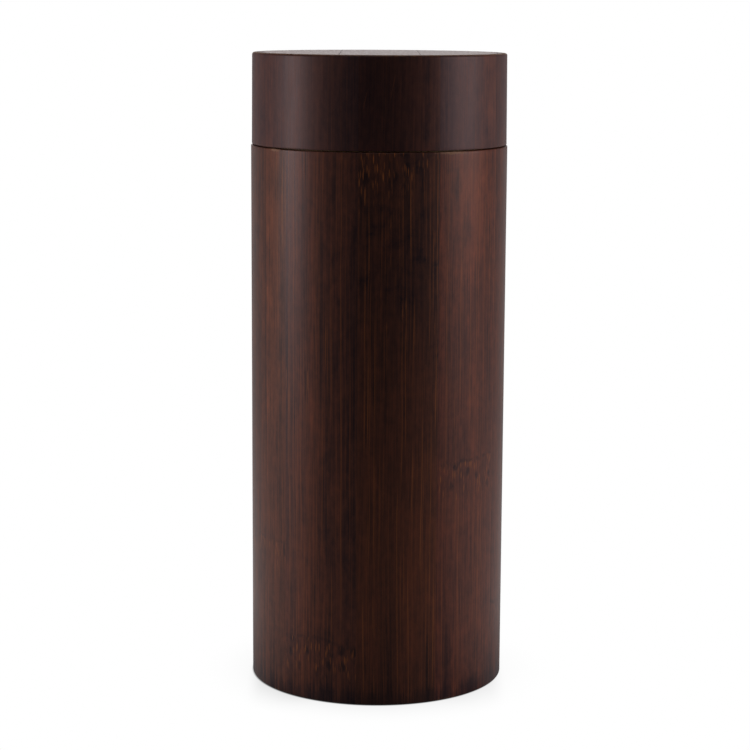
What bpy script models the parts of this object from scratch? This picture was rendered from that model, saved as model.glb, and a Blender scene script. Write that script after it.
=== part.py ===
"""Bamboo cylinder case: a coopered body and a lift-off lid that close over a glued neck ring.

The case stands on z = 0 around the z axis, with its front towards -y. All sizes are in metres.
"""

import math

import bmesh
import bpy

# Outer sizes
CASE_DIAMETER = 0.066
BODY_HEIGHT = 0.1397
LID_HEIGHT = 0.0232
SEAM_GAP = 0.0003
LID_STEP_IN = 0.0002
LID_TAPER = 0.00015

# Coopered walls
WALL = 0.005
STAVE_COUNT = 10
STAVE_FACETS = 8
FIRST_JOINT_FROM_FRONT = math.radians(-9)
GLUE_LINE = 0.0001

# Eased edges
FOOT_CHAMFER = 0.0005
SEAM_CHAMFER = 0.00035
LID_EDGE_RADIUS = 0.0006
LID_EDGE_FACETS = 3

# Neck ring, its seat in the body and its socket in the lid
NECK_WALL = 0.0022
NECK_SEAT_DEPTH = 0.012
NECK_RISE = 0.012
NECK_LEAD_IN = 0.0012
NECK_LEAD_IN_HEIGHT = 0.0018
NECK_INNER_EASE = 0.0004
LID_SLIDING_FIT = 0.0003
SOCKET_END_CLEARANCE = 0.0006
SOCKET_LEAD_IN = 0.0005

# Base and lid discs, each glued up from strips
DISC_STRIP_COUNT = 3
DISC_EDGE_EASE = 0.00015
BASE_THICKNESS = 0.004
BASE_RIM = 0.0025
BASE_RECESS = 0.0008
LID_DISC_THICKNESS = 0.004
LID_RIM = 0.0025

# Colours, linear, with each stave a little lighter or darker than the next
BODY_STAIN = (0.036, 0.014, 0.009)
LID_STAIN = (0.024, 0.012, 0.011)
NATURAL_BAMBOO = (0.55, 0.36, 0.17)
STAVE_TONE_SHARES = (1.0, 1.15, 0.9, 1.25, 0.95, 1.1, 0.85, 1.2, 1.0, 0.9)
SATIN_ROUGHNESS = 0.38
RAW_ROUGHNESS = 0.6

# Worked out from the sizes above
FRONT = -math.pi / 2
STAVE_TURN = 2 * math.pi / STAVE_COUNT
RING_FACETS = STAVE_COUNT * STAVE_FACETS
BODY_RADIUS = CASE_DIAMETER / 2
LID_RADIUS = BODY_RADIUS - LID_STEP_IN
LID_TOP_RADIUS = LID_RADIUS - LID_TAPER
BORE_RADIUS = BODY_RADIUS - WALL
NECK_RADIUS = BORE_RADIUS + NECK_WALL
NECK_SEAT_RADIUS = NECK_RADIUS + GLUE_LINE
NECK_SEAT_HEIGHT = BODY_HEIGHT - NECK_SEAT_DEPTH
SOCKET_RADIUS = NECK_RADIUS + LID_SLIDING_FIT
BASE_SEAT_RADIUS = BODY_RADIUS - BASE_RIM
LID_SEAT_RADIUS = LID_TOP_RADIUS - LID_RIM
LID_MOUTH_HEIGHT = BODY_HEIGHT + SEAM_GAP
SHARP_EDGE = math.radians(30)


def clear_scene():
    for old in list(bpy.data.objects):
        bpy.data.objects.remove(old, do_unlink=True)


def bamboo(name, colour, tone, roughness):
    """A Principled material of one colour, lightened or darkened by the tone."""
    material = bpy.data.materials.new(name)
    material.use_nodes = True
    shader = material.node_tree.nodes["Principled BSDF"]
    shader.inputs["Base Color"].default_value = (*(channel * tone for channel in colour), 1)
    shader.inputs["Roughness"].default_value = roughness
    shader.inputs["Metallic"].default_value = 0
    material.diffuse_color = shader.inputs["Base Color"].default_value
    return material


def carrier(name, height):
    """An empty on the case's axis that a group of pieces is parented to."""
    empty = bpy.data.objects.new(name, None)
    empty.location.z = height
    bpy.context.collection.objects.link(empty)
    return empty


def place(name, mesh, material, parent, height, turn):
    """One named piece, with its own material, stood on its carrier and turned about the axis."""
    piece = bpy.data.objects.new(name, mesh)
    bpy.context.collection.objects.link(piece)
    if not mesh.materials:
        mesh.materials.append(None)
    piece.material_slots[0].link = "OBJECT"
    piece.material_slots[0].material = material
    piece.parent = parent
    piece.location.z = height
    piece.rotation_euler.z = turn
    return piece


def finished_mesh(name, solid):
    """Turns a bmesh into a mesh with its faces outwards and its round faces shaded smooth."""
    bmesh.ops.recalc_face_normals(solid, faces=solid.faces)
    mesh = bpy.data.meshes.new(name)
    solid.to_mesh(mesh)
    solid.free()
    mesh.shade_smooth()
    mesh.set_sharp_from_angle(angle=SHARP_EDGE)
    return mesh


def corner_arc(centre_radius, centre_height, arc_radius, facets):
    """Points of a quarter circle from its outermost point up to its highest."""
    angles = [math.pi / 2 * step / facets for step in range(facets + 1)]
    return [
        (centre_radius + arc_radius * math.cos(angle), centre_height + arc_radius * math.sin(angle))
        for angle in angles
    ]


def spun_mesh(name, outline, turn, facets):
    """Spins a closed outline of (radius, height) points about the z axis.

    A full turn leaves a ring, and less than that leaves a wedge with a flat face at each end.
    """
    solid = bmesh.new()
    points = [solid.verts.new((radius, 0, height)) for radius, height in outline]
    full_turn = math.isclose(turn, 2 * math.pi)
    if full_turn:
        edges = [solid.edges.new(pair) for pair in zip(points, points[1:] + points[:1])]
        swept = points + edges
    else:
        face = solid.faces.new(points)
        swept = points + list(face.edges) + [face]
    bmesh.ops.spin(
        solid, geom=swept, cent=(0, 0, 0), axis=(0, 0, 1),
        angle=turn, steps=facets, use_merge=full_turn, use_duplicate=False,
    )
    return finished_mesh(name, solid)


def body_stave_outline():
    """Section of a body stave: base rebate at its foot, neck seat at its mouth."""
    base_top = BASE_RECESS + BASE_THICKNESS + GLUE_LINE
    return [
        (BASE_SEAT_RADIUS, 0),
        (BODY_RADIUS - FOOT_CHAMFER, 0),
        (BODY_RADIUS, FOOT_CHAMFER),
        (BODY_RADIUS, BODY_HEIGHT - SEAM_CHAMFER),
        (BODY_RADIUS - SEAM_CHAMFER, BODY_HEIGHT),
        (NECK_SEAT_RADIUS, BODY_HEIGHT),
        (NECK_SEAT_RADIUS, NECK_SEAT_HEIGHT),
        (BORE_RADIUS, NECK_SEAT_HEIGHT),
        (BORE_RADIUS, base_top),
        (BASE_SEAT_RADIUS, base_top),
    ]


def lid_stave_outline():
    """Section of a lid stave from its mouth up: socket for the neck, shoulder, disc rebate, tapered skin."""
    socket_end = NECK_RISE - SEAM_GAP + SOCKET_END_CLEARANCE
    disc_seat = LID_HEIGHT - LID_DISC_THICKNESS - GLUE_LINE
    top_edge = corner_arc(
        LID_TOP_RADIUS - LID_EDGE_RADIUS, LID_HEIGHT - LID_EDGE_RADIUS, LID_EDGE_RADIUS, LID_EDGE_FACETS
    )
    return [
        (SOCKET_RADIUS + SOCKET_LEAD_IN, 0),
        (LID_RADIUS - SEAM_CHAMFER, 0),
        (LID_RADIUS, SEAM_CHAMFER),
        *top_edge,
        (LID_SEAT_RADIUS, LID_HEIGHT),
        (LID_SEAT_RADIUS, disc_seat),
        (BORE_RADIUS, disc_seat),
        (BORE_RADIUS, socket_end),
        (SOCKET_RADIUS, socket_end),
        (SOCKET_RADIUS, SOCKET_LEAD_IN),
    ]


def neck_ring_outline():
    """Section of the neck ring from its glued foot up, tapered at the top to lead the lid on."""
    foot = NECK_SEAT_HEIGHT + GLUE_LINE
    top = BODY_HEIGHT + NECK_RISE
    return [
        (BORE_RADIUS, foot),
        (NECK_RADIUS, foot),
        (NECK_RADIUS, top - NECK_LEAD_IN_HEIGHT),
        (NECK_RADIUS - NECK_LEAD_IN, top),
        (BORE_RADIUS + NECK_INNER_EASE, top),
        (BORE_RADIUS, top - NECK_INNER_EASE),
    ]


def disc_strip_mesh(name, disc_radius, thickness, number):
    """The slice of a flat disc that lies between two planes across x, a glue line apart from the next."""
    width = 2 * disc_radius / DISC_STRIP_COUNT
    left = number * width - disc_radius + GLUE_LINE / 2
    right = (number + 1) * width - disc_radius - GLUE_LINE / 2
    solid = bmesh.new()
    bmesh.ops.create_circle(solid, cap_ends=True, radius=disc_radius, segments=RING_FACETS)
    disc = bmesh.ops.extrude_face_region(solid, geom=solid.faces[:])
    raised = [part for part in disc["geom"] if isinstance(part, bmesh.types.BMVert)]
    bmesh.ops.translate(solid, verts=raised, vec=(0, 0, thickness))
    for plane_x, outward in ((left, -1), (right, 1)):
        bmesh.ops.bisect_plane(
            solid, geom=solid.verts[:] + solid.edges[:] + solid.faces[:],
            plane_co=(plane_x, 0, 0), plane_no=(outward, 0, 0), clear_outer=True,
        )
        bmesh.ops.holes_fill(solid, edges=[edge for edge in solid.edges if edge.is_boundary])
    bmesh.ops.recalc_face_normals(solid, faces=solid.faces)
    rims = [
        edge for edge in solid.edges
        if edge.calc_face_angle() > SHARP_EDGE and edge.verts[0].co.z == edge.verts[1].co.z
    ]
    bmesh.ops.bevel(solid, geom=rims, offset=DISC_EDGE_EASE, segments=1, affect="EDGES")
    return finished_mesh(name, solid)


def make_staves(prefix, outline, stain, parent):
    """The staves of one coopered wall, side by side with a glue line between them."""
    glue_turn = GLUE_LINE / BODY_RADIUS
    mesh = spun_mesh(prefix + "_stave", outline, STAVE_TURN - glue_turn, STAVE_FACETS)
    for number, tone in zip(range(STAVE_COUNT), STAVE_TONE_SHARES * STAVE_COUNT):
        name = f"{prefix}_stave_{number + 1:02d}"
        turn = FRONT + FIRST_JOINT_FROM_FRONT + number * STAVE_TURN + glue_turn / 2
        place(name, mesh, bamboo(name, stain, tone, SATIN_ROUGHNESS), parent, 0, turn)


def make_neck_ring(parent):
    mesh = spun_mesh("neck_ring", neck_ring_outline(), 2 * math.pi, RING_FACETS)
    material = bamboo("neck_ring", NATURAL_BAMBOO, 1, RAW_ROUGHNESS)
    place("neck_ring", mesh, material, parent, 0, FRONT + FIRST_JOINT_FROM_FRONT)


def make_disc(prefix, disc_radius, thickness, stain, parent, height):
    """A round disc of straight strips laid side by side, front to back."""
    for number in range(DISC_STRIP_COUNT):
        name = f"{prefix}_strip_{number + 1}"
        mesh = disc_strip_mesh(name, disc_radius, thickness, number)
        tone = STAVE_TONE_SHARES[number % len(STAVE_TONE_SHARES)]
        place(name, mesh, bamboo(name, stain, tone, SATIN_ROUGHNESS), parent, height, 0)


def main():
    clear_scene()
    case = carrier("case", 0)
    lid = carrier("lid", LID_MOUTH_HEIGHT)
    lid.parent = case
    make_staves("body", body_stave_outline(), BODY_STAIN, case)
    make_disc("base", BASE_SEAT_RADIUS - GLUE_LINE, BASE_THICKNESS, BODY_STAIN, case, BASE_RECESS)
    make_neck_ring(case)
    make_staves("lid", lid_stave_outline(), LID_STAIN, lid)
    make_disc(
        "lid", LID_SEAT_RADIUS - GLUE_LINE, LID_DISC_THICKNESS, LID_STAIN, lid,
        LID_HEIGHT - LID_DISC_THICKNESS,
    )


main()
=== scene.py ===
import math
from functools import partial

import bpy
import numpy as np
from mathutils import Matrix


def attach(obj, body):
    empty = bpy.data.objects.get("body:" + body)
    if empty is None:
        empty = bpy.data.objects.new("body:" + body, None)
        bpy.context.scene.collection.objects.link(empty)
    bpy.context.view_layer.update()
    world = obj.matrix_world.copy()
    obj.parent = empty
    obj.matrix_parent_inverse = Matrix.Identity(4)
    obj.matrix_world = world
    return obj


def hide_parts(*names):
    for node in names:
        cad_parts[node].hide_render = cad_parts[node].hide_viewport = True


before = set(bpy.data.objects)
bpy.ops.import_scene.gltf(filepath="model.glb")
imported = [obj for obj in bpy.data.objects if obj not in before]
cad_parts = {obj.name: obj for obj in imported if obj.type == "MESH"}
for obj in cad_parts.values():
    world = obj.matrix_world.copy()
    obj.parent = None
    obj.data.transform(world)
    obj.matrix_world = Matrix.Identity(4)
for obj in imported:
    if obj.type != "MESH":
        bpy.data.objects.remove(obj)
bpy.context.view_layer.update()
mm = 0.001
front = -math.pi / 2
print("frame loaded:", len(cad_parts), "nodes")


# Colours and nodes

# sRGB hex to linear: c / 12.92 below 0.04045, else ((c + 0.055) / 1.055) ^ 2.4
def linear(hexColour):
    channels = np.array([int(hexColour[i:i + 2], 16) for i in (1, 3, 5)]) / 255
    low = channels / 12.92
    high = ((channels + 0.055) / 1.055) ** 2.4
    return (*np.where(channels <= 0.04045, low, high), 1.0)


# One node: inputs maps a socket to a value or to another node's output, and settings are the node's own
# properties. It returns the output that take names, or the node itself where it has no outputs.
def addNode(tree, kind, inputs=None, take=0, **settings):
    node = tree.nodes.new("ShaderNode" + kind)
    for key, value in settings.items():
        setattr(node, key, value)
    for socket, value in (inputs or {}).items():
        if isinstance(value, bpy.types.NodeSocket):
            tree.links.new(value, node.inputs[socket])
        else:
            node.inputs[socket].default_value = value
    return node.outputs[take] if len(node.outputs) else node


# Settings that many nodes share. timesPlus is socket 0 times 1 plus 2. A colour mix takes its colours at
# sockets 6 and 7, and a plain mix its values at 2 and 3.
smooth = {"interpolation_type": "SMOOTHSTEP"}
times = {"operation": "MULTIPLY"}
timesPlus = {"operation": "MULTIPLY_ADD"}
colourMix = {"take": 2, "data_type": "RGBA"}


# An empty material, and addNode with the material's tree filled in
def newMaterial(name):
    material = bpy.data.materials.new(name)
    material.use_nodes = True
    material.node_tree.nodes.clear()
    return material, partial(addNode, material.node_tree)


# Shapes

# How far a CAD node reaches: its middle direction, half its turn about the axis, its radii and its heights
def nodeReach(name):
    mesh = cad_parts[name].data
    points = np.empty(len(mesh.vertices) * 3, np.float32)
    mesh.vertices.foreach_get("co", points)
    x, y, z = points.reshape(-1, 3).T.astype(float)
    middle = math.atan2(y.mean(), x.mean())
    turned = (np.arctan2(y, x) - middle + math.pi) % (2 * math.pi) - math.pi
    radius = np.hypot(x, y)
    upper = z > (z.min() + z.max()) / 2
    return {
        "middle": middle, "half": np.abs(turned).max(), "inner": radius.min(), "outer": radius.max(),
        "outerHigh": radius[upper].max(), "low": z.min(), "high": z.max(), "left": x.min(), "right": x.max(),
    }


# Half the turn of an outline at one of its corners: half of pi less the angle between the two runs there
def cornerHalfTurn(places, number):
    after = places[(number + 1) % len(places)] - places[number]
    before = places[number - 1] - places[number]
    cosine = after @ before / np.linalg.norm(after) / np.linalg.norm(before)
    return (math.pi - math.acos(np.clip(cosine, -1, 1))) / 2


# A closed outline with round corners. Each corner is (radius, height, rounding, spacing of the run after it).
# A corner's arc is centre + (first sin((1 - s) turn) + last sin(s turn)) / sin(turn) for s from 0 to 1, where
# first and last point from the centre to its tangent points, each rounding * tan(turn / 2) from the corner.
# A run is filled evenly. It returns the points and, for each, its corner's number, or its run's, a half more.
def roundedOutline(corners, arcSteps=6):
    places = np.array([corner[:2] for corner in corners], float)
    share = np.linspace(0, 1, arcSteps + 1)[:, None]
    points, marks = [], []
    for number, here in enumerate(places):
        rounding, spacing = corners[number][2:]
        following = (number + 1) % len(corners)
        after, before = places[following] - here, places[number - 1] - here
        away, back = after / np.linalg.norm(after), before / np.linalg.norm(before)
        halfTurn = cornerHalfTurn(places, number)
        reach = rounding * math.tan(halfTurn)
        inward = (away + back) / np.linalg.norm(away + back)
        centre = here + inward * rounding / math.cos(halfTurn)
        first = here + back * reach - centre
        last = here + away * reach - centre
        arc = first * np.sin((1 - share) * 2 * halfTurn) + last * np.sin(share * 2 * halfTurn)
        arc = centre + arc / math.sin(2 * halfTurn)
        nextReach = corners[following][2] * math.tan(cornerHalfTurn(places, following))
        run = places[following] - away * nextReach - arc[-1]
        parts = max(1, round(np.linalg.norm(run) / spacing))
        between = np.linspace(0, 1, parts + 1)[1:-1, None]
        points += [arc, arc[-1] + run * between]
        marks += [np.full(len(arc), number), np.full(len(between), number + 0.5)]
    return np.concatenate(points), np.concatenate(marks)


# Sum of cosines with seeded phases, the last wave the highest, from about -1 to 1, for wear and sanded waves
def ripple(values, seed, waves, fall=0.7):
    rng = np.random.default_rng(seed)
    total = np.zeros(np.shape(values))
    for wave in waves:
        total = total * fall + np.cos(values * wave + rng.uniform(0, 2 * math.pi))
    return total / max(1.0, len(waves) * 0.6)


# A grid of points (rows x columns) becomes quads; closed rows wrap round, and so do closed columns
def gridFaces(rows, columns, rowsWrap, columnsWrap):
    row = np.arange(rows if rowsWrap else rows - 1)[:, None]
    column = np.arange(columns if columnsWrap else columns - 1)[None, :]
    nextRow, nextColumn = (row + 1) % rows, (column + 1) % columns
    corners = (row * columns + column, nextRow * columns + column,
               nextRow * columns + nextColumn, row * columns + nextColumn)
    return np.stack(corners, axis=-1).reshape(-1, 4)


# Puts points and faces into a new object at the origin, with its float attributes and one material
def makePiece(name, points, quads, caps, attributes, material):
    mesh = bpy.data.meshes.new(name)
    mesh.from_pydata(points.reshape(-1, 3), [], quads.tolist() + [cap.tolist() for cap in caps])
    for key, values in attributes.items():
        layer = mesh.attributes.new(key, "FLOAT", "POINT")
        layer.data.foreach_set("value", np.ascontiguousarray(values, np.float32).ravel())
    mesh.validate()
    mesh.shade_smooth()
    mesh.set_sharp_from_angle(angle=math.radians(40))
    mesh.materials.append(material)
    piece = bpy.data.objects.new(name, mesh)
    bpy.context.scene.collection.objects.link(piece)
    return piece


# Stained bamboo

# Sizes and heights in millimetres. A strip this thick has a fibre bundle about every 0.8 mm, and finer fibres
# between; bundleHalf is half a bundle's width, as a share of that spacing. tone is the stain's place on the
# ramp, which gives its brightness, and most strengths add to it.
stainedLook = {
    "bundleSpacing": 0.8, "bundleHalf": 0.26, "bundleFade": 45.0, "bundleStrength": 0.3,
    "wanderWidth": 12.5, "wanderLength": 50.0, "wanderReach": 1.6,
    "fineSpacing": 0.42, "fineLength": 14.0, "fineStrength": 0.4,
    "bandWidth": 3.2, "bandLength": 120.0, "bandStrength": 0.24,
    "cloudWidth": 6.0, "cloudLength": 9.0, "cloudStrength": 0.3, "mottle": 1.3, "mottleStrength": 0.25,
    "dashSpacing": 0.46, "dashLength": 3.6, "spotSpacing": 3.0, "spotLength": 5.0,
    "hairHalf": 0.17, "hairCore": 0.04,
    "threadSpacing": 0.75, "threadLength": 9.0, "threadStrength": 0.0,
    "threadLow": 92.0, "threadHigh": 128.0, "threadFade": 8.0,
    "tone": 0.44, "fall": (), "fallLow": 35.0, "fallHigh": 105.0,
    "clouds": (), "smudges": (), "lines": (), "node": None,
    "footDarkening": 0.0, "footReach": 20.0, "footRim": 5.5, "footRimFull": 1.5,
    "smoke": 0.12, "smokeSize": 8.0, "smokeFrom": 70.0, "smokeTo": 95.0,
    "stain": "#77483f", "tint": (1.0, 1.0, 1.0), "fibre": "#ce7b4a", "dash": "#d07c48",
    "ramp": ((0.0, 0.1), (0.15, 0.24), (0.3, 0.52), (0.45, 1.0),
             (0.6, 1.6), (0.75, 2.4), (0.9, 3.6), (1.0, 4.8)),
    "raw": "#cfa071", "rawDark": "#8d5c34", "soot": (0.42, 0.58, 0.85), "sheen": "#ffdeda",
    "roughness": 0.34, "roughnessSwing": 0.1, "relief": 0.012, "gloss": 0.3,
}

# A node mark, where its strip's look doesn't say otherwise. The dark line's height is that at the strip's
# middle, and 10 mm from there it is bow higher on both sides, and tilt higher on the right and lower on the
# left. drop is how far below the line the dashes reach.
nodeMark = {
    "bow": 0.5, "tilt": 0.0, "drop": 6.0, "tone": 0.02, "dashes": 0.5, "spots": 0.14,
    "line": 0.14, "lineHalf": 0.9, "lineCore": 0.1,
}


# How many of a pattern's cells lie in a millimetre across, through and along the fibres
def perMillimetre(width, length):
    return (1 / width, 1 / width, 1 / length)


# Long cells along the fibres, for golden dashes and threads. It returns how far inside its cell a place is,
# 0 at edge and 1 at core, and the cell's own chance.
def longCells(add, grain, width, length, edge, core):
    scaled = add("VectorMath", {0: grain, 1: perMillimetre(width, length)}, **times)
    cells = add("TexVoronoi", {"Vector": scaled, "Scale": 1.0, "Randomness": 1.0}).node
    away = cells.outputs["Distance"]
    inside = add("MapRange", {"Value": away, "From Min": edge, "From Max": core}, **smooth)
    return inside, add("SeparateColor", {0: cells.outputs["Color"]})


# Distance from a mark's centre, as a share of its half width and half length: 1 all round the ellipse's edge
def fromCentre(add, place, across, height, halfWidth, halfLength):
    offset = add("VectorMath", {0: place, 1: (across, 0.0, height)}, operation="SUBTRACT")
    offset = add("VectorMath", {0: offset, 1: (1 / halfWidth, 0.0, 1 / halfLength)}, **times)
    return add("VectorMath", {0: offset}, take="Value", operation="LENGTH")


# Bamboo strip, stained and satin lacquered, turned on the lathe and sanded.
# To the eye: straight fibre bundles about a millimetre apart that take less stain than the pith between,
# soft darker clouds where the stain soaked in, node scars with short golden dashes, bare pale wood on worn
# edges, the same pale colour as painted highlight on the front of the body's mouth edge, and a warm sheen,
# because much of the gloss comes up from the fibres through the stain.
def stainedBamboo(name, look, turn, seed):
    material, add = newMaterial(name)
    shift = np.random.default_rng(seed).uniform(-400, 400, 3)
    objectPlace = add("TexCoord", take="Object")
    inMillimetres = add("VectorMath", {0: objectPlace, "Scale": 1 / mm}, operation="SCALE")
    # the strip's own directions: x across it, y through it, z along its fibres
    place = add("Mapping", {"Vector": inMillimetres, "Rotation": turn})
    axes = add("SeparateXYZ", {0: place}).node
    across, height = axes.outputs["X"], axes.outputs["Z"]
    grain = add("VectorMath", {0: place, 1: tuple(shift)}, operation="ADD")

    # fibres wander about half a millimetre from side to side, in lengths of some centimetres
    slow = perMillimetre(look["wanderWidth"], look["wanderLength"])
    slow = add("VectorMath", {0: grain, 1: slow}, **times)
    wander = add("TexNoise", {"Vector": slow, "Scale": 1.0, "Detail": 1.0}, take="Fac")
    wander = add("Math", {0: wander, 1: 0.5}, operation="SUBTRACT")
    wander = add("Math", {0: wander, 1: look["wanderReach"]}, **times)
    wander = add("CombineXYZ", {"X": wander})
    grain = add("VectorMath", {0: grain, 1: wander}, operation="ADD")

    # fine fibre, broad bands, stain clouds and mottle, fading bundles and smoke, all noises around zero
    noises = {}
    for key, width, length, detail, rough in (
        ("fine", look["fineSpacing"], look["fineLength"], 2.0, 0.55),
        ("band", look["bandWidth"], look["bandLength"], 3.0, 0.55),
        ("cloud", look["cloudWidth"], look["cloudLength"], 5.0, 0.62),
        ("mottle", look["mottle"], look["mottle"] * 2, 2.0, 0.6),
        ("fade", look["bundleSpacing"], look["bundleFade"], 1.0, 0.5),
        ("smoke", look["smokeSize"], look["smokeSize"] * 1.2, 6.0, 0.75),
    ):
        scaled = add("VectorMath", {0: grain, 1: perMillimetre(width, length)}, **times)
        noise = add("TexNoise", {"Vector": scaled, "Scale": 1.0, "Detail": detail, "Roughness": rough},
                    take="Fac")
        noises[key] = add("Math", {0: noise, 1: 0.5}, operation="SUBTRACT")
    fine, cloud = noises["fine"], noises["cloud"]

    # long fibre bundles: one cell each across the strip, and each bundle has a strength of its own
    wandered = add("SeparateXYZ", {0: grain}).node
    section = add("Math", {0: wandered.outputs["X"], 1: look["bundleSpacing"]}, operation="DIVIDE")
    cells = add("TexVoronoi", {"W": section, "Scale": 1.0, "Randomness": 0.85}, voronoi_dimensions="1D").node
    bundle = add("MapRange", {"Value": cells.outputs["Distance"],
                              "From Min": look["bundleHalf"], "From Max": 0.04}, **smooth)
    chance = add("SeparateColor", {0: cells.outputs["Color"]})
    chance = add("MapRange", {"Value": chance, "From Min": 0.1, "From Max": 0.9, "To Min": 0.25})
    bundle = add("Math", {0: bundle, 1: chance}, **times)
    fade = add("MapRange", {"Value": noises["fade"], "From Min": -0.1, "From Max": 0.12,
                            "To Min": 0.08}, **smooth)
    bundle = add("Math", {0: bundle, 1: fade}, **times)

    tone = look["tone"]
    for key in ("fine", "band", "cloud", "mottle"):
        tone = add("Math", {0: noises[key], 1: look[key + "Strength"], 2: tone}, **timesPlus)

    # a strip may be darker towards the top and lighter towards the foot: on the front strip the darker top is
    # stain, and the lighter foot is painted light from the table
    if look["fall"]:
        fall = add("MapRange", {"Value": height, "From Min": look["fallLow"], "From Max": look["fallHigh"],
                                "To Min": look["fall"][0], "To Max": look["fall"][1]})
        tone = add("Math", {0: tone, 1: fall}, operation="ADD")

    # darker or lighter clouds in chosen places: 1 inside an ellipse with a ragged edge, 0 outside
    for *ellipse, strength in look["clouds"]:
        away = fromCentre(add, place, *ellipse)
        away = add("Math", {0: cloud, 1: -3.0, 2: away}, **timesPlus)
        away = add("Math", {0: fine, 1: -1.0, 2: away}, **timesPlus)
        inside = add("MapRange", {"Value": away, "From Min": 1.3, "From Max": 0.2}, **smooth)
        tone = add("Math", {0: inside, 1: strength, 2: tone}, **timesPlus)

    # a node: the long bundles stop in its zone, golden dashes and dark spots take their place, and a faint
    # dark line, bowed and broken, lies along its top. level is the height above that line
    if look["node"]:
        mark = {**nodeMark, **look["node"]}
        bow = add("Math", {0: across, 1: 0.1}, **times)
        bow = add("Math", {0: bow, 1: bow}, **times)
        level = add("Math", {0: bow, 1: -mark["bow"], 2: height}, **timesPlus)
        level = add("Math", {0: across, 1: -0.1 * mark["tilt"], 2: level}, **timesPlus)
        level = add("Math", {0: cloud, 1: 5.0, 2: level}, **timesPlus)
        level = add("Math", {0: level, 1: mark["height"]}, operation="SUBTRACT")
        under = add("MapRange", {"Value": level, "From Min": 0.4, "From Max": -0.8}, **smooth)
        ragged = add("Math", {0: fine, 1: 16.0, 2: level}, **timesPlus)
        above = add("MapRange", {"Value": ragged, "From Min": -mark["drop"] - 2,
                                 "From Max": 1 - 0.5 * mark["drop"]}, **smooth)
        # full just under the line, the zone thins out raggedly towards drop below it
        zone = add("Math", {0: under, 1: above}, **times)
        tone = add("Math", {0: zone, 1: mark["tone"], 2: tone}, **timesPlus)

        dash, dashChance = longCells(add, grain, look["dashSpacing"], look["dashLength"], 0.44, 0.14)
        dash = add("Math", {0: dash, 1: dashChance}, **times)
        zoneDashes = add("Math", {0: zone, 1: mark["dashes"]}, **times)
        lit = add("Math", {0: dash, 1: zoneDashes}, **times, use_clamp=True)

        spot = perMillimetre(look["spotSpacing"], look["spotLength"])
        spot = add("VectorMath", {0: grain, 1: spot}, **times)
        spot = add("TexVoronoi", {"Vector": spot, "Scale": 1.0, "Randomness": 1.0}, take="Distance")
        spot = add("Math", {0: cloud, 1: -1.1, 2: spot}, **timesPlus)
        spot = add("MapRange", {"Value": spot, "From Min": 0.36, "From Max": 0.16}, **smooth)
        dim = add("Math", {0: spot, 1: zone}, **times)
        tone = add("Math", {0: dim, 1: -mark["spots"], 2: tone}, **timesPlus)

        line = add("Math", {0: level}, operation="ABSOLUTE")
        line = add("MapRange", {"Value": line, "From Min": mark["lineHalf"],
                                "From Max": mark["lineCore"]}, **smooth)
        broken = add("MapRange", {"Value": noises["mottle"], "From Min": -0.06, "From Max": 0.1}, **smooth)
        line = add("Math", {0: line, 1: broken}, **times)
        tone = add("Math", {0: line, 1: -mark["line"], 2: tone}, **timesPlus)
        clear = add("Math", {0: zone, 1: -0.8, 2: 1.0}, **timesPlus)
        bundle = add("Math", {0: bundle, 1: clear}, **times)
    golden = add("Math", {0: bundle, 1: look["bundleStrength"]}, **times)

    # threads: single golden fibres, some millimetres long, scattered over one stretch of the strip
    if look["threadStrength"]:
        thread, threadChance = longCells(add, grain, look["threadSpacing"], look["threadLength"], 0.3, 0.08)
        threadChance = add("MapRange", {"Value": threadChance, "From Min": 0.35, "From Max": 1.0})
        thread = add("Math", {0: thread, 1: threadChance}, **times)
        ragged = add("Math", {0: cloud, 1: 20.0, 2: height}, **timesPlus)
        reach = look["threadFade"]
        for end, step in ((look["threadLow"], reach), (look["threadHigh"], -reach)):
            within = add("MapRange", {"Value": ragged, "From Min": end, "From Max": end + step})
            thread = add("Math", {0: thread, 1: within}, **times)
        golden = add("Math", {0: thread, 1: look["threadStrength"], 2: golden}, **timesPlus)

    # chosen lines: a bright fibre, or a slanting hairline scratch in the lacquer
    for lineAcross, lineHeight, slant, halfLength, strength in look["lines"]:
        lift = add("Math", {0: height, 1: lineHeight}, operation="SUBTRACT")
        aside = add("Math", {0: lift, 1: -slant, 2: across}, **timesPlus)
        aside = add("Math", {0: aside, 1: lineAcross}, operation="SUBTRACT")
        aside = add("Math", {0: aside}, operation="ABSOLUTE")
        hair = add("MapRange", {"Value": aside, "From Min": look["hairHalf"],
                                "From Max": look["hairCore"]}, **smooth)
        lift = add("Math", {0: lift}, operation="ABSOLUTE")
        lift = add("Math", {0: cloud, 1: 8.0, 2: lift}, **timesPlus)
        run = add("MapRange", {"Value": lift, "From Min": halfLength, "From Max": halfLength * 0.3}, **smooth)
        hair = add("Math", {0: hair, 1: run}, **times)
        golden = add("Math", {0: hair, 1: strength, 2: golden}, **timesPlus, use_clamp=True)

    # the strip darkens towards the foot, over the last two centimetres and most of all in the last five
    # millimetres
    if look["footDarkening"]:
        ragged = height
        for noise, swing in ((cloud, 3.0), (noises["band"], 10.0), (fine, 7.0)):
            ragged = add("Math", {0: noise, 1: swing, 2: ragged}, **timesPlus)
        foot = add("MapRange", {"Value": ragged, "From Min": look["footReach"], "From Max": 0.0,
                                "To Max": 0.4})
        rim = add("MapRange", {"Value": ragged, "From Min": look["footRim"], "From Max": look["footRimFull"],
                               "To Max": 0.6}, **smooth)
        foot = add("Math", {0: foot, 1: rim}, operation="ADD")
        aboveFoot = add("Math", {0: 1.0, 1: foot}, operation="SUBTRACT")
        golden = add("Math", {0: golden, 1: aboveFoot}, **times)
        tone = add("Math", {0: foot, 1: -look["footDarkening"], 2: tone}, **timesPlus)

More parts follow.
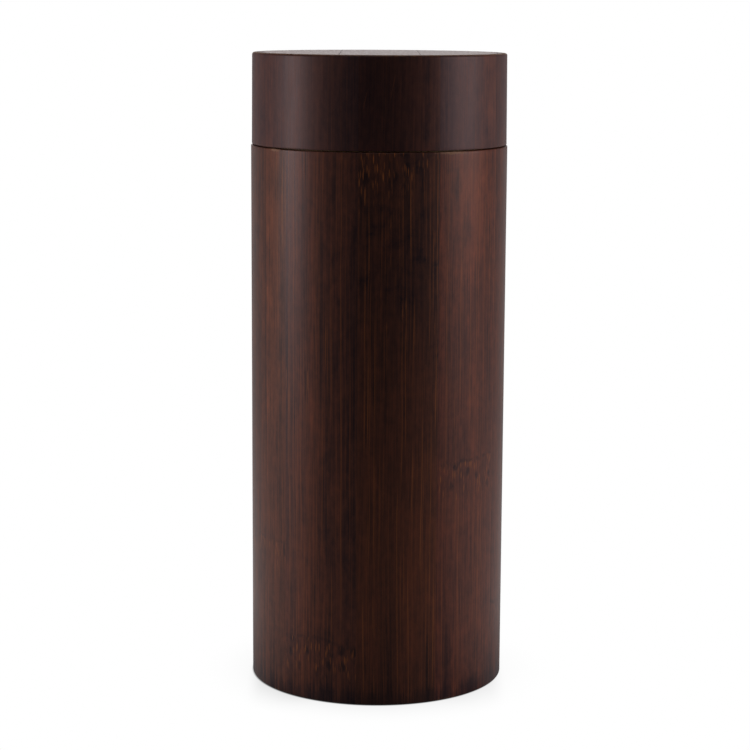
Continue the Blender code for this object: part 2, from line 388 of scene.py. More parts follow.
    # where less stain was taken the wood is brighter in red than in green and blue: the stain's colour
    # times (m, m ^ 0.66, m ^ 0.3) for each brightness m of the ramp
    stained = add("ValToRGB", {0: tone})
    ramp = stained.node.color_ramp
    while len(ramp.elements) < len(look["ramp"]):
        ramp.elements.new(0.5)
    stainColour = np.array(linear(look["stain"])[:3]) * look["tint"]
    for element, (position, brightness) in zip(ramp.elements, look["ramp"]):
        element.position = position
        element.color = (*(stainColour * brightness ** np.array([1.0, 0.66, 0.3])), 1.0)

    # bundles and dashes took less stain, so their colour is golden
    colour = add("Mix", {0: golden, 6: stained, 7: linear(look["fibre"])}, **colourMix)
    if look["node"]:
        colour = add("Mix", {0: lit, 6: colour, 7: linear(look["dash"])}, **colourMix)

    # smoke: patches where soot darkens fibres and pith alike, with more of it higher up, and single smudges
    smoke = add("MapRange", {"Value": noises["smoke"], "From Min": 0.01, "From Max": 0.2}, **smooth)
    risen = add("MapRange", {"Value": height, "From Min": look["smokeFrom"], "From Max": look["smokeTo"],
                             "To Min": look["smoke"] * 0.3, "To Max": look["smoke"]})
    smoke = add("Math", {0: smoke, 1: risen}, **times)
    for *ellipse, strength in look["smudges"]:
        away = fromCentre(add, place, *ellipse)
        away = add("Math", {0: noises["smoke"], 1: -5.0, 2: away}, **timesPlus)
        inside = add("MapRange", {"Value": away, "From Min": 1.6, "From Max": -0.4}, **smooth)
        smoke = add("Math", {0: inside, 1: strength, 2: smoke}, **timesPlus, use_clamp=True)
    colour = add("Mix", {0: smoke, 6: colour, 7: (*look["soot"], 1.0)}, blend_type="MULTIPLY", **colourMix)

    # bare bamboo inside and on worn edges, and the same pale colour as painted highlight on the front of the
    # body's mouth edge
    rawShare = add("Math", {0: fine, 1: 1.6, 2: 0.35}, **timesPlus, use_clamp=True)
    raw = add("Mix", {0: rawShare, 6: linear(look["raw"]), 7: linear(look["rawDark"])}, **colourMix)
    stain = add("Attribute", attribute_name="stain", take="Fac")
    wearAndHighlight = add("Attribute", attribute_name="wearAndHighlight", take="Fac")
    wearAndHighlight = add("Math", {0: fine, 1: 1.2, 2: wearAndHighlight}, **timesPlus)
    wearAndHighlight = add("MapRange", {"Value": wearAndHighlight, "From Min": 0.3, "From Max": 1.1, "To Max": 0.9}, **smooth)
    bareAndHighlight = add("Math", {0: 1.0, 1: stain}, operation="SUBTRACT")
    bareAndHighlight = add("Math", {0: bareAndHighlight, 1: wearAndHighlight}, operation="MAXIMUM")
    colour = add("Mix", {0: bareAndHighlight, 6: colour, 7: raw}, **colourMix)

    rough = add("Math", {0: fine, 1: look["roughnessSwing"], 2: look["roughness"]}, **timesPlus)
    rough = add("Math", {0: bareAndHighlight, 1: 0.2, 2: rough}, **timesPlus)
    relief = add("Math", {0: bundle, 1: 0.35, 2: fine}, **timesPlus)
    bump = add("Bump", {"Height": relief, "Distance": look["relief"] * mm, "Strength": 1.0})
    gloss = add("Math", {0: bareAndHighlight, 1: -0.7 * look["gloss"], 2: look["gloss"]}, **timesPlus)
    shader = add("BsdfPrincipled", {
        "Base Color": colour, "Roughness": rough, "Normal": bump, "IOR": 1.5, "Metallic": 0.0,
        "Specular Tint": linear(look["sheen"]), "Specular IOR Level": gloss,
    })
    add("OutputMaterial", {"Surface": shader})
    return material


# Natural bamboo, turned and sanded, no stain: pale straw with darker bundle lines along z
def naturalBamboo(name, look):
    material, add = newMaterial(name)
    objectPlace = add("TexCoord", take="Object")
    grain = add("VectorMath", {0: objectPlace, "Scale": 1 / mm}, operation="SCALE")
    cells = perMillimetre(look["fibreSpacing"], look["fibreLength"])
    cells = add("VectorMath", {0: grain, 1: cells}, **times)
    cells = add("TexVoronoi", {"Vector": cells, "Scale": 1.0}, take="Distance")
    bundle = add("MapRange", {"Value": cells, "From Min": 0.38, "From Max": 0.12}, **smooth)
    fine = add("VectorMath", {0: grain, 1: look["finePerMillimetre"]}, **times)
    fine = add("TexNoise", {"Vector": fine, "Scale": 1.0, "Detail": 4.0, "Roughness": 0.6}, take="Fac")
    share = add("Math", {0: bundle, 1: 0.45, 2: fine}, **timesPlus)
    share = add("MapRange", {"Value": share, "From Min": 0.35, "From Max": 1.0})
    colour = add("Mix", {0: share, 6: linear(look["pale"]), 7: linear(look["dark"])}, **colourMix)
    bump = add("Bump", {"Height": share, "Distance": look["relief"] * mm, "Strength": 1.0})
    shader = add("BsdfPrincipled", {
        "Base Color": colour, "Roughness": look["roughness"], "Normal": bump, "IOR": 1.5, "Metallic": 0.0,
    })
    add("OutputMaterial", {"Surface": shader})
    return material


# Sizes shared by the pieces, from the frame

glueLine = 0.1 * mm
slidingFit = 0.3 * mm
socketEndClearance = 0.6 * mm
bodyStave = nodeReach("body_stave_01")
lidStave = nodeReach("lid_stave_01")
neck = nodeReach("neck_ring")
baseDisc = nodeReach("base_strip_2")
lidDisc = nodeReach("lid_strip_2")


# Staves

# In millimetres, but footWear and seamWear are shares of full wear. waveRise is how far the sanding wave's
# phase runs on in a millimetre of height, and waveTurn and waveSlant how far in a radian round the axis.
staveShape = {
    "footRounding": 0.35, "seamRounding": 0.2, "topRounding": 0.6, "innerRounding": 0.15,
    "socketRounding": 0.5, "skinSpacing": 0.8, "lidSkinSpacing": 0.5, "hiddenSpacing": 12.0,
    "edgeColumns": (0.0, 0.06, 0.12, 0.2, 0.32), "firstColumn": 0.5, "columnSpacing": 0.36,
    "jointDepth": 0.008, "jointWidth": 0.15, "rimWear": 0.4, "footWear": 0.45, "seamWear": 0.2,
    "sandingWave": 0.012, "waveRise": 0.11, "waveTurn": 9, "waveSlant": 3,
}


# Carries a closed outline round the axis: point = (r cos a, r sin a, z), with the skin's radius lowered by
# jointDepth * exp(-(distance to the strip's edge / jointWidth) ^ 2) and moved by a slow sanding wave
def turnedStave(name, reach, outline, skin, stained, wearAndHighlightByPoint, wearAndHighlightByAngle, material):
    shape = staveShape
    half = reach["half"] + 0.5 * glueLine / reach["outer"]
    arcLength = 2 * half * reach["outer"]
    edge, firstColumn = np.array(shape["edgeColumns"]) * mm, shape["firstColumn"] * mm
    columnCount = round(arcLength / (shape["columnSpacing"] * mm))
    inner = np.linspace(firstColumn, arcLength - firstColumn, columnCount)
    arc = np.concatenate([edge, inner, arcLength - edge[::-1]])
    angle = (reach["middle"] - half + arc / reach["outer"])[:, None]
    edgeDistance = np.minimum(arc, arcLength - arc)[:, None]
    groove = shape["jointDepth"] * mm * np.exp(-(edgeDistance / (shape["jointWidth"] * mm)) ** 2)
    height = outline[None, :, 1]
    wave = ripple(height / mm * shape["waveRise"] + shape["waveSlant"] * angle, 11, (1.0, 2.3))
    wave = wave * ripple(angle * shape["waveTurn"] + 0 * height, 12, (1.0, 1.7))
    lower = (groove + shape["sandingWave"] * mm * (0.5 + 0.5 * wave)) * skin[None, :]
    radius = outline[None, :, 0] - lower
    points = np.stack([radius * np.cos(angle), radius * np.sin(angle), height + 0 * radius], axis=-1)
    rows, columns = radius.shape
    quads = gridFaces(rows, columns, False, True)
    caps = [np.arange(columns), (rows - 1) * columns + np.arange(columns)[::-1]]
    attributes = {"stain": stained[None, :] + 0 * radius, "wearAndHighlight": wearAndHighlightByPoint[None, :] * wearAndHighlightByAngle(angle)}
    return makePiece(name, points, quads, caps, attributes, material)


# A finished piece takes the place of its CAD node, which is hidden, and goes with the node's body
def finish(piece, node, body):
    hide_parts(node)
    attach(piece, body)


# The ten staves of the body or the lid, turned to one section. Each has its own stain and marks.
def makeStaves(part, body, wallLook, wallMarks, section):
    for number, tone in enumerate(wallLook["tones"], 1):
        node = f"{part}_stave_{number:02d}"
        reach = nodeReach(node)
        look = {**wallLook, "tone": tone, **wallMarks.get(number, {})}
        turn = (0.0, 0.0, front - reach["middle"])
        material = stainedBamboo("stainedBamboo_" + node, look, turn, look["firstSeed"] + number)
        piece = turnedStave(node + "_turned", reach, *section, material)
        finish(piece, node, body)


bodyLook = {
    # raw, the bare wood's colour, is also the colour of the painted highlight on the front of the mouth's
    # edge
    **stainedLook, "footDarkening": 0.17, "raw": "#e0b29a", "firstSeed": 20,
    # stain tone of each strip, counted from the front one towards the viewer's right
    "tones": (0.405, 0.455, 0.42, 0.42, 0.46, 0.43, 0.44, 0.41, 0.46, 0.428),
}

# What each strip shows of its own, in millimetres from its middle to the viewer's right and up from the foot.
# A cloud is (across, height, half width, half length, tone), a smudge the same with a strength for its tone,
# and a line (across, height, slant, half length, strength).
bodyMarks = {
    1: {
        # fall: stain darkens the top, and painted light from the table lightens the foot
        "tint": (0.97, 1.02, 0.91), "fall": (0.06, -0.07), "smoke": 0.5, "threadStrength": 0.42,
        "fineStrength": 0.36, "cloudStrength": 0.2, "mottleStrength": 0.2,
        "bundleStrength": 0.52, "bundleFade": 26.0, "bundleSpacing": 0.86, "bundleHalf": 0.22,
        "node": {"height": 145.0, "tilt": 4.5, "drop": 16.0, "tone": 0.0, "dashes": 1.05, "spots": 0.15,
                 "line": 0.0},
        "smudges": (
            (-4.6, 122.0, 2.8, 3.4, 0.4), (0.8, 111.5, 6.0, 9.0, 0.5), (-7.4, 114.0, 1.8, 4.5, 0.35),
            (6.4, 125.0, 3.2, 12.0, 0.45), (-1.3, 132.0, 2.6, 2.8, 0.3), (-1.8, 117.0, 2.8, 2.4, 0.25),
            (2.0, 101.0, 5.4, 10.0, 0.42), (9.4, 106.0, 1.6, 15.0, 0.6),
        ),
        "lines": ((-8.5, 129.5, 0.0, 3.0, 0.8),),
        "clouds": ((-1.4, 14.0, 1.2, 26.0, -0.1), (8.1, 9.0, 0.9, 15.0, -0.14)),
    },
    2: {
        "tint": (1.05, 1.06, 1.07), "cloudStrength": 0.28, "smoke": 0.3, "fineStrength": 0.44,
        "node": {"height": 61.5, "tilt": 0.2, "drop": 9.0, "tone": 0.0, "dashes": 0.85, "spots": 0.22,
                 "line": 0.13},
        "clouds": (
            (-6.9, 8.0, 1.1, 16.0, -0.14), (2.0, 134.0, 12.0, 30.0, 0.1), (8.0, 88.0, 4.0, 34.0, -0.06),
            (-7.4, 122.0, 0.9, 9.0, -0.12), (-7.4, 92.0, 0.9, 8.0, -0.12), (5.2, 123.0, 1.0, 9.0, -0.1),
        ),
    },
    3: {"node": {"height": 21.0, "bow": 0.7, "tilt": -0.3, "drop": 6.5}},
    5: {"node": {"height": 97.0, "tilt": 0.3}},
    6: {"node": {"height": 44.0, "bow": 0.6, "tilt": 0.1, "drop": 7.0}},
    8: {"node": {"height": 118.0, "tilt": -0.4}},
    9: {
        "tint": (0.95, 1.13, 1.14), "bundleStrength": 0.24, "bandStrength": 0.42, "bandWidth": 2.2,
        "cloudStrength": 0.24, "smoke": 0.3, "gloss": 0.26,
        "node": {"height": 39.5, "bow": 1.2, "tilt": -0.2, "tone": 0.03, "spots": 0.16, "line": 0.09},
        "lines": ((6.9, 133.0, 0.0, 9.0, 0.5), (9.2, 125.0, 0.0, 16.0, 0.7), (7.2, 112.0, 0.0, 18.0, 0.3)),
        "clouds": ((5.8, 115.0, 3.8, 40.0, 0.1), (1.7, 105.0, 0.5, 60.0, -0.1)),
    },
    10: {
        "tint": (1.0, 1.07, 1.02), "bundleStrength": 0.36, "fineStrength": 0.46, "bandStrength": 0.46,
        "bandWidth": 2.0, "cloudStrength": 0.15, "smoke": 0.3, "gloss": 0.32, "sheen": "#ffdfe2",
        "node": {"height": 16.0, "bow": -0.9, "tilt": -0.4, "drop": 10.0, "dashes": 0.85, "spots": 0.18,
                 "line": 0.1},
        "clouds": (
            (7.8, 96.0, 4.8, 80.0, -0.15), (5.2, 38.0, 5.0, 14.0, -0.04), (1.6, 52.0, 1.8, 12.0, -0.12),
            (0.9, 98.0, 0.8, 34.0, -0.16), (-1.0, 42.0, 6.5, 60.0, 0.06), (8.6, 1.0, 4.0, 7.0, -0.1),
        ),
        "lines": (
            (2.2, 92.0, 0.0, 7.0, 0.45), (-2.9, 82.5, 0.0, 3.4, 0.6), (-9.8, 82.5, 0.0, 4.0, 0.4),
            (-8.9, 77.0, 0.0, 5.0, 0.5), (-10.1, 129.0, 0.0, 14.0, 0.45),
        ),
    },
}

# where the mouth's edge is pale: degrees from the front, and half the width of each stretch. The two in front
# are painted highlight in bare wood's colour, where the edge faces the side boxes; the four behind are rubbed
# bare.
mouthWearAndHighlight = ((-51.5, 4), (34, 8), (100, 9), (150, 6), (205, 10), (262, 6))


# Highest of the stretches' bumps exp(-(degrees from its middle / half width) ^ 2), over a low uneven wear.
# The bumps in front are painted highlight.
def mouthWearAndHighlightByAngle(angle):
    middle, halfWidth = np.array(mouthWearAndHighlight, float).T
    away = (np.degrees(angle - front) - middle + 180) % 360 - 180
    bumps = np.exp(-(away / halfWidth) ** 2).max(axis=1, keepdims=True)
    return 0.2 + 0.9 * bumps + 0.1 * ripple(angle, 5, (37, 61, 97))


# The lid's rim is rubbed all round, a little unevenly
def topWearByAngle(angle):
    return 0.95 + 0.2 * ripple(angle, 6, (3, 7, 19, 41))


# The body's section: the foot with its disc's rebate, the skin, the mouth and the neck ring's seat
def makeBodyStaves():
    shape, high = staveShape, bodyStave["high"]
    baseSeat = baseDisc["outer"] + glueLine
    baseTop = baseDisc["high"] + glueLine
    neckSeat = neck["outer"] + glueLine
    neckFoot = neck["low"] - glueLine
    inner, hidden = shape["innerRounding"] * mm, shape["hiddenSpacing"] * mm
    outline, marks = roundedOutline((
        (baseSeat, 0.0, inner, hidden),
        (bodyStave["outer"], 0.0, shape["footRounding"] * mm, shape["skinSpacing"] * mm),
        (bodyStave["outer"], high, shape["seamRounding"] * mm, hidden),
        (neckSeat, high, inner, hidden),
        (neckSeat, neckFoot, inner, hidden),
        (bodyStave["inner"], neckFoot, inner, hidden),
        (bodyStave["inner"], baseTop, inner, hidden),
        (baseSeat, baseTop, inner, hidden),
    ))
    # corner 1 is the foot's edge, run 1.5 the skin and corner 2 the mouth's edge
    skin = (marks == 1.5).astype(float)
    stained = (marks < 3).astype(float)
    wearAndHighlightByPoint = np.where(marks == 2, 1.0, np.where(marks == 1, shape["footWear"], 0.0))
    section = (outline, skin, stained, wearAndHighlightByPoint, mouthWearAndHighlightByAngle)
    makeStaves("body", "case", bodyLook, bodyMarks, section)


lidLook = {
    **stainedLook, "bundleStrength": 0.1, "fineStrength": 0.28, "bandStrength": 0.17, "cloudStrength": 0.26,
    "mottleStrength": 0.2, "stain": "#6e4c4a", "sheen": "#fbd6d8", "firstSeed": 50,
    "roughness": 0.4, "roughnessSwing": 0.2, "relief": 0.01, "gloss": 0.36,
    "tones": (0.355, 0.46, 0.45, 0.44, 0.46, 0.43, 0.45, 0.44, 0.46, 0.44),
}

# the same for the lid's strips, of which the front one is the darkest and has two hairline scratches
lidMarks = {
    1: {
        "tint": (0.92, 0.72, 0.58),
        "lines": ((-8.6, 152.0, 0.22, 3.4, 0.14), (-2.0, 155.0, 0.2, 4.4, 0.12)),
        "clouds": ((-7.0, 152.0, 6.0, 14.0, -0.08), (9.5, 152.0, 3.6, 40.0, 0.06)),
    },
    2: {
        "tint": (1.03, 1.05, 1.05), "bandStrength": 0.2,
        "clouds": ((-9.8, 152.0, 4.0, 40.0, -0.11), (7.5, 156.0, 4.0, 14.0, 0.1)),
    },
    3: {"gloss": 0.34},
    9: {"gloss": 0.25},
    10: {"tint": (0.97, 0.86, 0.76), "clouds": ((9.5, 152.0, 8.0, 30.0, -0.12),)},
}


# The lid's section: the socket for the neck ring, the skin, the rim and the disc's rebate
def makeLidStaves():
    shape, low, high = staveShape, lidStave["low"], lidStave["high"]
    socket = neck["outer"] + slidingFit
    socketEnd = neck["high"] + socketEndClearance
    discSeat = lidDisc["outer"] + glueLine
    discLow = lidDisc["low"] - glueLine
    inner, hidden = shape["innerRounding"] * mm, shape["hiddenSpacing"] * mm
    outline, marks = roundedOutline((
        (socket, low, shape["socketRounding"] * mm, hidden),
        (lidStave["outer"], low, shape["seamRounding"] * mm, shape["lidSkinSpacing"] * mm),
        (lidStave["outerHigh"], high, shape["topRounding"] * mm, hidden),
        (discSeat, high, inner, hidden),
        (discSeat, discLow, inner, hidden),
        (lidStave["inner"], discLow, inner, hidden),
        (lidStave["inner"], socketEnd, inner, hidden),
        (socket, socketEnd, inner, hidden),
    ))
    # corner 1 is the seam's edge, run 1.5 the skin and corner 2 the rim
    skin = (marks == 1.5).astype(float)
    stained = ((marks > 0) & (marks < 4)).astype(float)
    # only the upper part of the rim's rounding is rubbed, down to rimWear below the top
    rubbed = np.clip(1 - (high - outline[:, 1]) / (shape["rimWear"] * mm), 0, 1)
    wearAndHighlightByPoint = np.where(marks == 2, rubbed, np.where(marks == 1, shape["seamWear"], 0.0))
    section = (outline, skin, stained, wearAndHighlightByPoint, topWearByAngle)
    makeStaves("lid", "lid", lidLook, lidMarks, section)


# Neck ring

# In millimetres
neckLook = {
    "fibreSpacing": 0.9, "fibreLength": 90.0, "finePerMillimetre": (2.4, 2.4, 0.03),
    "pale": "#dcbd8a", "dark": "#a87a45", "roughness": 0.5, "relief": 0.01,
    "leadIn": 1.2, "leadInHeight": 1.8, "leadInRounding": 1.5, "rounding": 0.2, "spacing": 6.0, "steps": 240,
}


# A full turn of the ring's outline about z: point = (r cos a, r sin a, z)
def makeNeckRing():
    look = neckLook
    low, high, outer, inner = neck["low"], neck["high"], neck["outer"], neck["inner"]
    rounding, spacing = look["rounding"] * mm, look["spacing"] * mm
    outline, _ = roundedOutline((
        (inner, low, rounding, spacing),
        (outer, low, rounding, spacing),
        (outer, high - look["leadInHeight"] * mm, look["leadInRounding"] * mm, spacing),
        (outer - look["leadIn"] * mm, high, rounding, spacing),
        (inner, high, 2 * rounding, spacing),
    ))
    angle = np.linspace(0, 2 * math.pi, look["steps"], endpoint=False)[:, None]
    radius, height = outline[None, :, 0], outline[None, :, 1]
    points = np.stack([radius * np.cos(angle), radius * np.sin(angle), height + 0 * angle], axis=-1)
    quads = gridFaces(len(angle), len(outline), True, True)
    piece = makePiece("neck_ring_turned", points, quads, [], {}, naturalBamboo("naturalBamboo_neck", look))
    finish(piece, "neck_ring", "case")


# Discs of three strips

# In millimetres, and columnStep in degrees
discShape = {
    "rounding": 0.18, "arcSteps": 4, "runSteps": 60, "columnStep": 0.9,
    "jointDepth": 0.04, "jointWidth": 0.15,
}


# A slice of a disc, as columns across x. With x = R sin t the half length is h = R cos t, and a point of a
# column is y = f (h - rounding) + o at its height, where f is -1 to 1 on the faces and o rounds the ends.
# The faces dip by jointDepth * exp(-(distance to the strip's side / jointWidth) ^ 2).
def discStrip(name, reach, discRadius, stainedFace, material):
    shape = discShape
    rounding = shape["rounding"] * mm
    arc = np.linspace(0, math.pi / 2, shape["arcSteps"] + 1)
    run = np.linspace(-1, 1, shape["runSteps"] + 1)[1:-1]
    ends = np.ones(len(arc))
    low, high = reach["low"], reach["high"]
    share = np.concatenate([-ends, run, ends, ends, run[::-1], -ends])
    sine, cosine, flat = np.sin(arc), np.cos(arc), 0 * run
    outward = rounding * np.concatenate([-cosine, flat, sine, cosine, flat, -sine])
    rise = np.concatenate([high - rounding * (1 - sine), high + flat, high - rounding * (1 - cosine),
                           low + rounding * (1 - sine), low + flat, low + rounding * (1 - cosine)])
    isTop = rise > (low + high) / 2
    sides = np.clip([reach["left"] / discRadius, reach["right"] / discRadius], -0.9995, 0.9995)
    first, last = (math.asin(side) for side in sides)
    steps = max(8, round((last - first) / math.radians(shape["columnStep"])))
    t = np.linspace(first, last, steps)[:, None]
    x = discRadius * np.sin(t)
    y = share[None, :] * (discRadius * np.cos(t) - rounding) + outward[None, :]
    sideDistance = np.minimum(x - x[0], x[-1] - x)
    dip = shape["jointDepth"] * mm * np.exp(-(sideDistance / (shape["jointWidth"] * mm)) ** 2)
    z = rise[None, :] + np.where(isTop, -1, 1)[None, :] * dip
    points = np.stack([x + 0 * z, y, z], axis=-1)
    rows, columns = z.shape
    quads = gridFaces(rows, columns, False, True)[:, ::-1]
    caps = [np.arange(columns)[::-1], (rows - 1) * columns + np.arange(columns)]
    stained = np.where(isTop == (stainedFace == "top"), 1.0, 0.0)
    attributes = {"stain": stained[None, :] + 0 * z, "wearAndHighlight": 0 * z}
    return makePiece(name, points, quads, caps, attributes, material)


topLook = {**lidLook, "tone": 0.45, "bundleStrength": 0.12, "roughness": 0.32, "gloss": 0.5, "firstSeed": 83}
baseLook = {**stainedLook, "tone": 0.36, "roughness": 0.55, "firstSeed": 84}


def makeDiscs():
    # the strips' fibres run front to back, so the pattern's z is turned to lie along y
    turn = (math.pi / 2, 0.0, 0.0)
    for number in (1, 2, 3):
        for prefix, look, face, slot, body, disc in (
            ("lid", topLook, "top", "lid_top_bamboo", "lid", lidDisc),
            ("base", baseLook, "bottom", "base_bamboo", "case", baseDisc),
        ):
            node = f"{prefix}_strip_{number}"
            material = stainedBamboo("stainedBamboo_" + node, look, turn, look["firstSeed"] + number)
            piece = discStrip(node + "_sawn", nodeReach(node), disc["outer"], face, material)
            finish(piece, node, body)


# Stage: white table, soft boxes at both sides, a pale wall behind, a light ceiling and a dark room in front

# Power in watts, sizes, places and distances in metres. A glow is what the table or a wall sends back to the
# case, and a contact value is how much darker the table looks at the foot.
studio = {
    "boxLeft": {"place": (-1.0, -0.125, 0.2), "size": (0.46, 0.4), "power": 2.42},
    "boxRight": {"place": (1.0, -0.2, 0.28), "size": (0.64, 0.4), "power": 2.75},
    "wallGlow": 1.0, "cornerGlow": 0.27, "overheadGlow": 1.8, "roomGlow": 0.004,
    "wallTint": (1.0, 0.93, 0.92),
    "tableHalf": 6.0, "tableDrop": 0.0001, "nearGlow": 0.5, "nearReach": 0.055,
    "tableFront": 0.09, "frontFull": 0.1, "frontReach": 0.35,
    "tableLeft": 0.44, "tableRight": 0.41, "sideReach": 0.1,
    "tableBack": 0.23, "backFrom": 0.05, "backFull": 0.3, "tablePast": 1.6,
    "contactLeft": 0.21, "contactRight": 0.15, "contactTurn": 0.02, "contactFront": 0.105,
    "contactReach": 0.016, "contactPast": 0.22, "pastFrom": 0.0295, "pastFull": 0.0345,
    "creviceGlow": 0.05, "creviceEdge": 0.0004, "creviceLeft": -0.005, "creviceRight": 0.029,
}


# The table looks white, and lights the case less from the front than from the sides and the back
def makeTable():
    half, low = studio["tableHalf"], -studio["tableDrop"]
    mesh = bpy.data.meshes.new("table")
    corners = [(x * half, y * half, low) for x, y in ((-1, -1), (1, -1), (1, 1), (-1, 1))]
    mesh.from_pydata(corners, [], [(0, 1, 2, 3)])
    material, add = newMaterial("whiteTable")
    place = add("NewGeometry", take="Position")
    away = add("VectorMath", {0: place}, take="Value", operation="LENGTH")
    axes = add("SeparateXYZ", {0: place}).node
    sideways, depth = axes.outputs["X"], axes.outputs["Y"]
    frontGlow = add("MapRange", {
        "Value": away, "From Min": studio["frontFull"], "From Max": studio["frontReach"],
        "To Min": studio["tableFront"], "To Max": 0.0,
    }, **smooth)
    sideGlow = add("MapRange", {
        "Value": sideways, "From Min": -studio["sideReach"], "From Max": studio["sideReach"],
        "To Min": studio["tableLeft"], "To Max": studio["tableRight"],
    })
    behind = add("MapRange", {
        "Value": depth, "From Min": studio["backFrom"], "From Max": studio["backFull"],
    })
    sideGlow = add("Mix", {0: behind, 2: sideGlow, 3: studio["tableBack"]})
    # direction is -1 in front of the case and 1 behind it, and the front's glow turns into the sides' between
    # 46 and 73 degrees off the front
    direction = add("Math", {0: depth, 1: away}, operation="DIVIDE")
    sideShare = add("MapRange", {"Value": direction, "From Min": -0.7, "From Max": -0.3}, **smooth)
    glow = add("Mix", {0: sideShare, 2: frontGlow, 3: sideGlow})
    # at a low angle past the case's sides it mirrors the wall, so more comes back from behind
    past = add("MapRange", {"Value": direction, "From Min": 0.7, "From Max": 0.95, "To Min": 1.0,
                            "To Max": studio["tablePast"]})
    glow = add("Math", {0: glow, 1: past}, **times)
    # close to the foot the case keeps the light off the table, so less comes back
    gap = add("Math", {0: away, 1: bodyStave["outer"]}, operation="SUBTRACT")
    near = add("MapRange", {"Value": gap, "From Max": studio["nearReach"], "To Min": studio["nearGlow"]})
    glow = add("Math", {0: glow, 1: near}, **times)

    # the contact shade fades as (1 - distance / reach) ^ 2, least in front and most on the left, where the
    # light is weaker
    sidePeak = add("MapRange", {
        "Value": sideways, "From Min": -studio["contactTurn"], "From Max": studio["contactTurn"],
        "To Min": studio["contactLeft"], "To Max": studio["contactRight"],
    })
    aside = add("MapRange", {"Value": direction, "From Min": -0.93, "From Max": -0.75}, **smooth)
    peak = add("Mix", {0: aside, 2: studio["contactFront"], 3: sidePeak})
    fade = add("Math", {0: gap, 1: studio["contactReach"]}, operation="DIVIDE", use_clamp=True)
    fade = add("Math", {0: 1.0, 1: fade}, operation="SUBTRACT")
    fade = add("Math", {0: fade, 1: 2.0}, operation="POWER")
    fade = add("Math", {0: fade, 1: peak}, **times)
    # past the case's left and right the boxes light the table, so little of it is left
    outward = add("Math", {0: sideways}, operation="ABSOLUTE")
    kept = add("MapRange", {
        "Value": outward, "From Min": studio["pastFull"], "From Max": studio["pastFrom"],
        "To Min": studio["contactPast"],
    }, **smooth)
    fade = add("Math", {0: fade, 1: kept}, **times)
    shade = add("Math", {0: 1.0, 1: fade}, operation="SUBTRACT")
    # no light gets in under the foot's rounding, and the light from the right gets in a little further
    crevice = studio["creviceEdge"]
    edge = add("MapRange", {
        "Value": sideways, "From Min": studio["creviceLeft"], "From Max": studio["creviceRight"],
        "To Max": -crevice,
    })
    edge = add("Math", {0: gap, 1: edge}, operation="SUBTRACT")
    opened = add("MapRange", {
        "Value": edge, "From Min": -crevice, "From Max": crevice, "To Min": studio["creviceGlow"],
    }, **smooth)
    shade = add("Math", {0: shade, 1: opened}, **times)
    seen = add("LightPath", take="Is Camera Ray")
    strength = add("Mix", {0: seen, 2: glow, 3: shade})
    light = add("Emission", {"Color": (1, 1, 1, 1), "Strength": strength})
    add("OutputMaterial", {"Surface": light})
    mesh.materials.append(material)
    table = bpy.data.objects.new("table", mesh)
    bpy.context.scene.collection.objects.link(table)


# Sets an object's place and its own x, y and z directions
def putObject(item, directions, place):
    rows = [(*row, offset) for row, offset in zip(np.stack(directions, axis=1), place)]
    item.matrix_world = Matrix([*rows, (0, 0, 0, 1)])


# A soft box faces the case level along x, and the camera doesn't see it
def makeLight(name, settings):
    light = bpy.data.lights.new(name, "AREA")
    light.shape = "RECTANGLE"
    light.size, light.size_y = settings["size"]
    light.energy = settings["power"]
    box = bpy.data.objects.new(name, light)
    bpy.context.scene.collection.objects.link(box)
    place = np.array(settings["place"])
    back = place * (1, 0, 0) / abs(place[0])
    right = np.cross((0, 0, 1), back)
    putObject(box, (right, np.cross(back, right), back), place)
    box.visible_camera = False


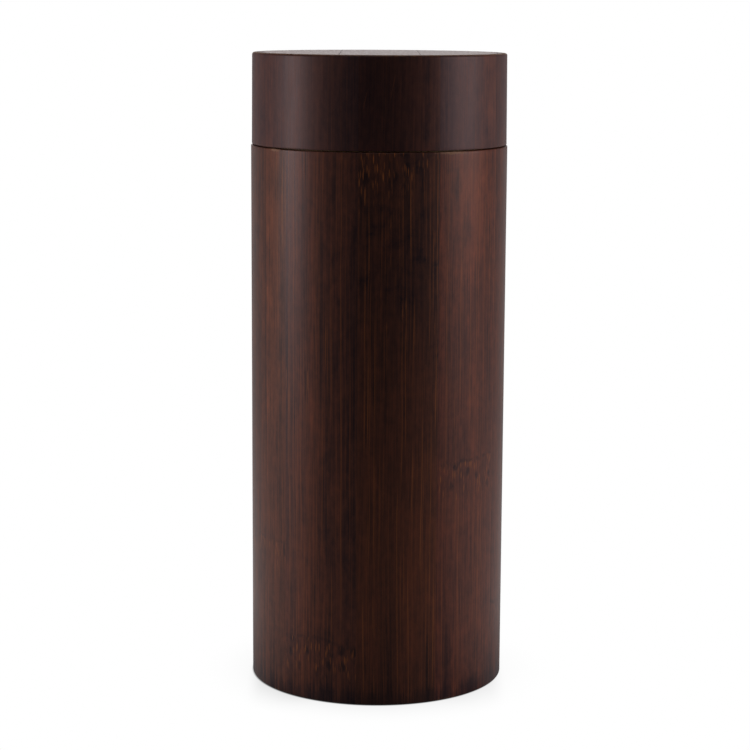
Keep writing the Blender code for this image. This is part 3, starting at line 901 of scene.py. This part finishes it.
# What lights the case besides the boxes, all a little pink: a narrow pale wall behind, up to about 40 degrees
# high, with dimmer corners low at its sides, a light ceiling straight above and a dark room elsewhere. The
# camera sees white all round.
def makeWorld():
    world = bpy.data.worlds.new("studio")
    bpy.context.scene.world = world
    world.use_nodes = True
    world.node_tree.nodes.clear()
    add = partial(addNode, world.node_tree)
    axes = add("SeparateXYZ", {0: add("TexCoord", take="Generated")}).node
    # rise is the sine of a direction's angle above level, and back is 1 straight behind and -1 in front
    rise = axes.outputs["Z"]
    level = add("CombineXYZ", {"X": axes.outputs["X"], "Y": axes.outputs["Y"]})
    level = add("VectorMath", {0: level}, operation="NORMALIZE")
    back = add("SeparateXYZ", {0: level}).node.outputs["Y"]
    # the corners: from 63 to 32 degrees off straight behind, and gone between 12 and 24 degrees high
    beside = add("MapRange", {"Value": back, "From Min": 0.45, "From Max": 0.85,
                              "To Min": studio["roomGlow"], "To Max": studio["cornerGlow"]})
    horizon = add("MapRange", {"Value": rise, "From Min": 0.4, "From Max": 0.2}, **smooth)
    beside = add("Mix", {0: horizon, 2: studio["roomGlow"], 3: beside})
    # the wall: from 17 to 10 degrees off straight behind, and gone between 37 and 49 degrees high
    behind = add("MapRange", {"Value": back, "From Min": 0.955, "From Max": 0.985})
    low = add("MapRange", {"Value": rise, "From Min": 0.75, "From Max": 0.6}, **smooth)
    behind = add("Math", {0: behind, 1: low}, **times)
    wall = add("Mix", {0: behind, 2: beside, 3: studio["wallGlow"]})
    # the ceiling: from 72 to 80 degrees high
    overhead = add("MapRange", {"Value": rise, "From Min": 0.95, "From Max": 0.985,
                                "To Max": studio["overheadGlow"]}, **smooth)
    wall = add("Math", {0: wall, 1: overhead}, operation="ADD")
    seen = add("LightPath", take="Is Camera Ray")
    strength = add("Mix", {0: seen, 2: wall, 3: 1.0})
    colour = add("Mix", {0: seen, 6: (*studio["wallTint"], 1), 7: (1, 1, 1, 1)}, **colourMix)
    light = add("Background", {"Color": colour, "Strength": strength})
    add("OutputWorld", {"Surface": light})


# Camera, from the outline, the seam and the foot of the photograph

# distance and height in case radii, tilt, yaw and roll in degrees, lens in millimetres
camera = {"distance": 17.186, "height": 5.311, "tilt": 9.595, "yaw": 0.077, "roll": 0.3095, "lens": 105.19}


# Forward is level ahead turned by yaw and dipped by tilt. The right and up axes are turned about it by roll.
def makeCamera():
    radius = bodyStave["outer"]
    tilt, yaw, roll = (math.radians(camera[key]) for key in ("tilt", "yaw", "roll"))
    level = np.array([-math.sin(yaw), math.cos(yaw), 0])
    right = np.array([math.cos(yaw), math.sin(yaw), 0])
    upright = np.array([0, 0, 1])
    forward = math.cos(tilt) * level - math.sin(tilt) * upright
    up = math.sin(tilt) * level + math.cos(tilt) * upright
    rolledRight = math.cos(roll) * right + math.sin(roll) * up
    rolledUp = -math.sin(roll) * right + math.cos(roll) * up
    data = bpy.data.cameras.new("camera")
    data.lens = camera["lens"]
    eye = bpy.data.objects.new("camera", data)
    bpy.context.scene.collection.objects.link(eye)
    place = (0, -camera["distance"] * radius, camera["height"] * radius)
    putObject(eye, (rolledRight, rolledUp, -forward), place)
    bpy.context.scene.camera = eye
    bpy.context.scene.view_settings.view_transform = "Standard"


makeCamera()
makeWorld()
makeTable()
for name in ("boxLeft", "boxRight"):
    makeLight(name, studio[name])
print("camera, table and lights made")
makeBodyStaves()
print("body staves turned")
makeLidStaves()
print("lid staves turned")
makeNeckRing()
makeDiscs()
print("neck ring and discs made")
